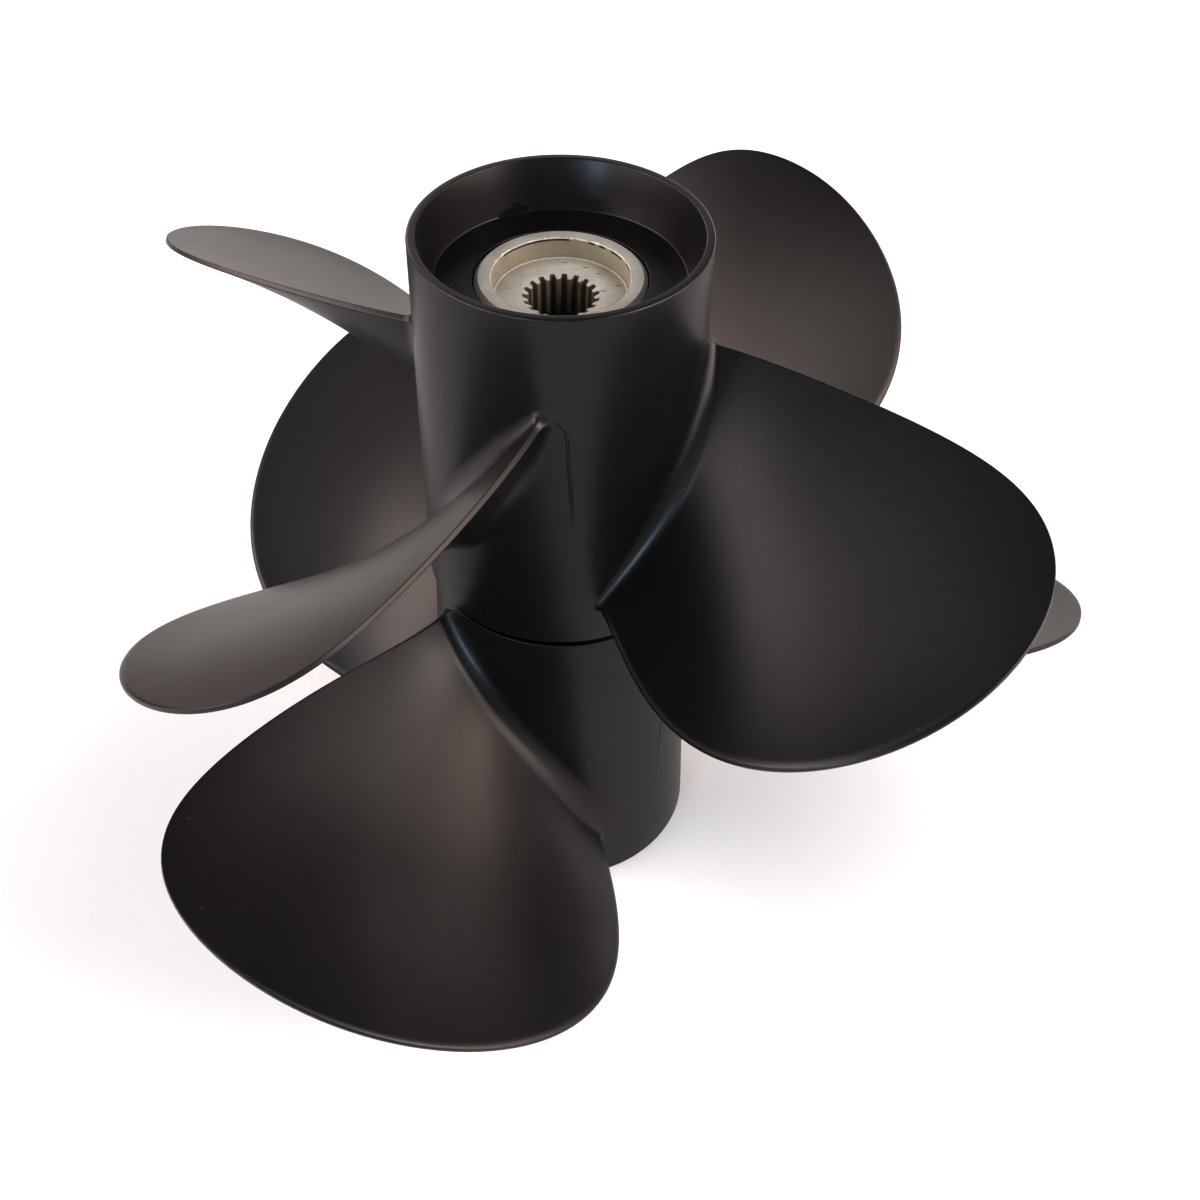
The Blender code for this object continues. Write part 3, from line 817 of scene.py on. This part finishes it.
def spline_tube():
    """The flange in the cup's floor, the lead-in cone and the toothed bore."""
    segments = SPLINE_TEETH * STEPS_PER_TOOTH
    tooth = np.abs((np.arange(segments) / STEPS_PER_TOOTH + SPLINE_PHASE + 0.5) % 1.0 - 0.5)
    t = np.clip((FLANK_START - tooth) / FLANK_WIDTH, 0, 1)
    teeth = SPLINE_MINOR + (SPLINE_MAJOR - SPLINE_MINOR) * t * t * (3 - 2 * t)
    flange_back = CUP_FLOOR - FLANGE_THICKNESS
    rows = [
        # The floor is painted darker towards the cup's wall, as shade
        (WALL_SHADE_RADIUS, CUP_FLOOR, FACE_ZONE), (FLANGE_RADIUS - FLOOR_LIP, CUP_FLOOR, WALL_SHADE_ZONE),
        (FLANGE_RADIUS, CUP_FLOOR + LIP_RISE, FACE_ZONE), (FLANGE_RADIUS, flange_back, BACK_ZONE),
        (TUBE_RADIUS, flange_back, BACK_ZONE), (TUBE_RADIUS, RING_FOOT, BACK_ZONE)]
    # The bore is painted part way dark as shade
    for height in np.linspace(RING_FOOT, CUP_FLOOR - MOUTH_DEPTH - CONE_GAP, BORE_ROWS):
        rows.append((teeth, height, BORE_ZONE))
    for share in np.linspace(0, 1, CONE_ROWS):
        cone = SPLINE_MINOR + (MOUTH_RADIUS - SPLINE_MINOR) * share
        zone = np.where(teeth > cone, BORE_ZONE, FACE_ZONE)
        rows.append((np.maximum(teeth, cone), CUP_FLOOR - MOUTH_DEPTH * (1 - share), zone))
    tube = ring_grid("upper_spline_tube", rows, segments, sharp=30.0)
    finish(tube, SPLINE, "spline_metal", "upper_propeller", "upper_spline_sleeve")


def castings():
    upper_hub()
    lower_hub()
    sides = (("upper", UPPER_BLADE, UPPER_PARTING, upper_hub_radius),
             ("lower", LOWER_BLADE, LOWER_PARTING, lower_hub_radius))
    for side, blade, _, hub_radius in sides:
        for index in range(blade.count):
            word = str(index + 1)
            skin = add_blade(side + "_blade_skin_" + word, blade, index, hub_radius)
            finish(skin, BLACK, "satin_black", side + "_propeller", side + "_blade_" + word)
    for side, blade, path, hub_radius in sides:
        lines = parting_lines(side + "_parting_lines", blade, path, hub_radius)
        finish(lines, BLACK, "satin_black", side + "_propeller")


def keep_nodes():
    """Gives the nodes that stay as the frame made them their materials."""
    kept = {"lower_bush_sleeve": BUSH, "upper_rubber_bush": RUBBER, "lower_rubber_bush": RUBBER,
            "lower_spline_sleeve": SPLINE, "lower_hub_rib_1": BLACK, "lower_hub_rib_2": BLACK,
            "lower_hub_rib_3": BLACK}
    for name, material in kept.items():
        node = frame["nodes"][name]
        node.data.materials.clear()
        node.data.materials.append(material)


def add_camera():
    """The camera of the photograph: square picture, shifted centre, slight yaw and roll."""
    camera = bpy.data.cameras.new("camera")
    camera.sensor_width = SENSOR
    camera.lens = FOCAL_PIXELS / PHOTO_SIZE * SENSOR
    camera.shift_x = (PHOTO_SIZE / 2 - CENTRE_X) / PHOTO_SIZE
    camera.shift_y = (CENTRE_Y - PHOTO_SIZE / 2) / PHOTO_SIZE
    camera.clip_start = CLIP_START
    obj = bpy.data.objects.new("camera", camera)
    bpy.context.scene.collection.objects.link(obj)
    sy, cy = math.sin(CAMERA_YAW), math.cos(CAMERA_YAW)
    sp, cp = math.sin(CAMERA_PITCH), math.cos(CAMERA_PITCH)
    ahead = Vector((sy * cp, cy * cp, -sp))
    right = Vector((cy, -sy, 0))
    up = right.cross(ahead)
    cr, sr = math.cos(CAMERA_ROLL), math.sin(CAMERA_ROLL)
    x_axis = cr * right + sr * up
    y_axis = cr * up - sr * right
    matrix = Matrix((x_axis, y_axis, -ahead)).transposed().to_4x4()
    matrix.translation = (AXIS[0], AXIS[1] - CAMERA_BACK, HUB_TOP + CAMERA_OVER_TOP)
    obj.matrix_world = matrix
    bpy.context.scene.camera = obj


def add_panel(name, place, target, size, power, tint):
    """A soft rectangular light that faces a point."""
    light = bpy.data.lights.new(name, "AREA")
    light.shape = "RECTANGLE"
    light.size, light.size_y = size
    light.energy = power
    light.color = tint
    obj = bpy.data.objects.new(name, light)
    bpy.context.scene.collection.objects.link(obj)
    obj.location = place
    obj.rotation_euler = (Vector(target) - Vector(place)).to_track_quat("-Z", "Y").to_euler()


def light_tent():
    """Upright panels in rows round the object and sloping panels over it."""
    middle = (AXIS[0], AXIS[1], TENT_MIDDLE)
    turn = 360 / WALL_PANELS
    width = 2 * TENT_RADIUS * math.tan(math.radians(turn / 2))
    for low, high, panels in TENT_WALLS:
        for index, (power, tint) in panels.items():
            place = on_axis(TENT_RADIUS, math.radians(index * turn), (low + high) / 2)
            add_panel("wall_panel", place, (AXIS[0], AXIS[1], place[2]), (width, high - low), power, tint)
    for slope, size, panels in TENT_ROOF:
        radius = TENT_RADIUS * math.cos(math.radians(slope))
        height = TENT_MIDDLE + TENT_RADIUS * math.sin(math.radians(slope))
        for angle, (power, tint) in panels.items():
            place = on_axis(radius, math.radians(angle), height)
            add_panel("roof_panel", place, middle, (size, size), power, tint)
    angle, height, size, power = WINDOW
    place = on_axis(TENT_RADIUS - WINDOW_INSET, math.radians(angle), height)
    add_panel("window", place, (AXIS[0], AXIS[1], height), size, power, SKY)


def add_stage():
    """A pale floor, and a backdrop past it that is pale to the eye but lights nothing."""
    floor = bpy.data.meshes.new("floor")
    bm = bmesh.new()
    bmesh.ops.create_circle(bm, cap_ends=True, segments=FLOOR_SEGMENTS, radius=FLOOR_RADIUS)
    bm.to_mesh(floor)
    bm.free()
    obj = bpy.data.objects.new("floor", floor)
    bpy.context.scene.collection.objects.link(obj)
    material, _, shader = node_tree("floor")
    shader.inputs["Base Color"].default_value = (*grey(FLOOR_GREY), 1.0)
    shader.inputs["Roughness"].default_value = FLOOR_ROUGHNESS
    floor.materials.append(material)
    world = bpy.data.worlds.new("world")
    bpy.context.scene.world = world
    world.use_nodes = True
    nodes, links = world.node_tree.nodes, world.node_tree.links
    dim = nodes["Background"]
    pale = nodes.new("ShaderNodeBackground")
    for background, strength in ((dim, WORLD_STRENGTH), (pale, BACKDROP_STRENGTH)):
        background.inputs["Color"].default_value = (1.0, 1.0, 1.0, 1.0)
        background.inputs["Strength"].default_value = strength
    seen = nodes.new("ShaderNodeMixShader")
    links.new(nodes.new("ShaderNodeLightPath").outputs["Is Camera Ray"], seen.inputs["Fac"])
    links.new(dim.outputs["Background"], seen.inputs[1])
    links.new(pale.outputs["Background"], seen.inputs[2])
    links.new(seen.outputs["Shader"], nodes["World Output"].inputs["Surface"])
    view = bpy.context.scene.view_settings
    view.view_transform = "Standard"
    view.gamma = VIEW_GAMMA


castings()
bush_ring()
spline_tube()
keep_nodes()
add_camera()
add_stage()
light_tent()
